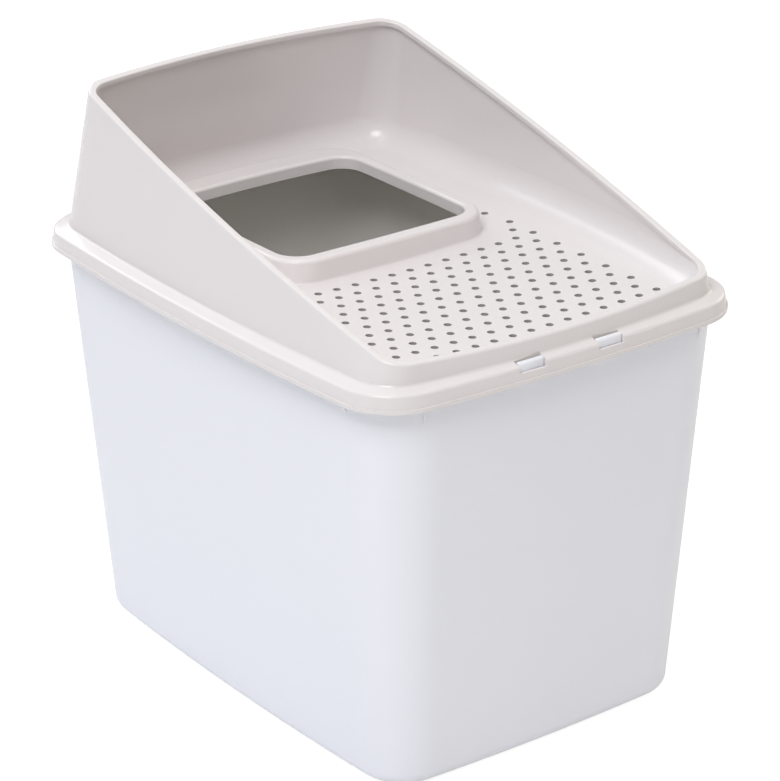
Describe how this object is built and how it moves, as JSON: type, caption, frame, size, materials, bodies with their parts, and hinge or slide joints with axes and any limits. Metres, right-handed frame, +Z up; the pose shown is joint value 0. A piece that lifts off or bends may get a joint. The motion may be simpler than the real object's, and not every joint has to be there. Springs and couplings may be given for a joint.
{
  "type": "top entry litter box",
  "caption": "Deep tub with a lift-off lid: a sloping hood wall round a perforated platform and a raised collar that is the way in.",
  "frame": {"origin": "on the floor, under the middle of the box", "axes": "+Z up, -Y towards the low front with the platform and the latches, +Y towards the high rear of the hood, +X to the right seen from the front"},
  "size_m": [0.4216, 0.5572, 0.5313],
  "materials": {
    "tub": "smooth moulded, satin, cool white",
    "lid": "smooth moulded, satin, warm off-white",
    "latch": "smooth moulded, satin, cool white"
  },
  "bodies": {
    "tub": {"tub": "tub"},
    "lid": {"lid": "lid"},
    "front_latch_left": {"front_latch_left": "latch"},
    "front_latch_right": {"front_latch_right": "latch"}
  },
  "joints": [
    {"name": "lid_lift", "type": "slide", "parent": "tub", "child": "lid", "axis": [0, 0, 1], "range_m": [0, 0.15]},
    {"name": "front_latch_left_flex", "type": "hinge", "parent": "tub", "child": "front_latch_left", "pos_m": [-0.0464, -0.2699, 0.3741], "axis": [-1, 0, 0], "range_deg": [0, 8], "stiffness_Nm_per_rad": 0.2},
    {"name": "front_latch_right_flex", "type": "hinge", "parent": "tub", "child": "front_latch_right", "pos_m": [0.0376, -0.27017, 0.3741], "axis": [-1, 0, 0], "range_deg": [0, 8], "stiffness_Nm_per_rad": 0.2}
  ]
}
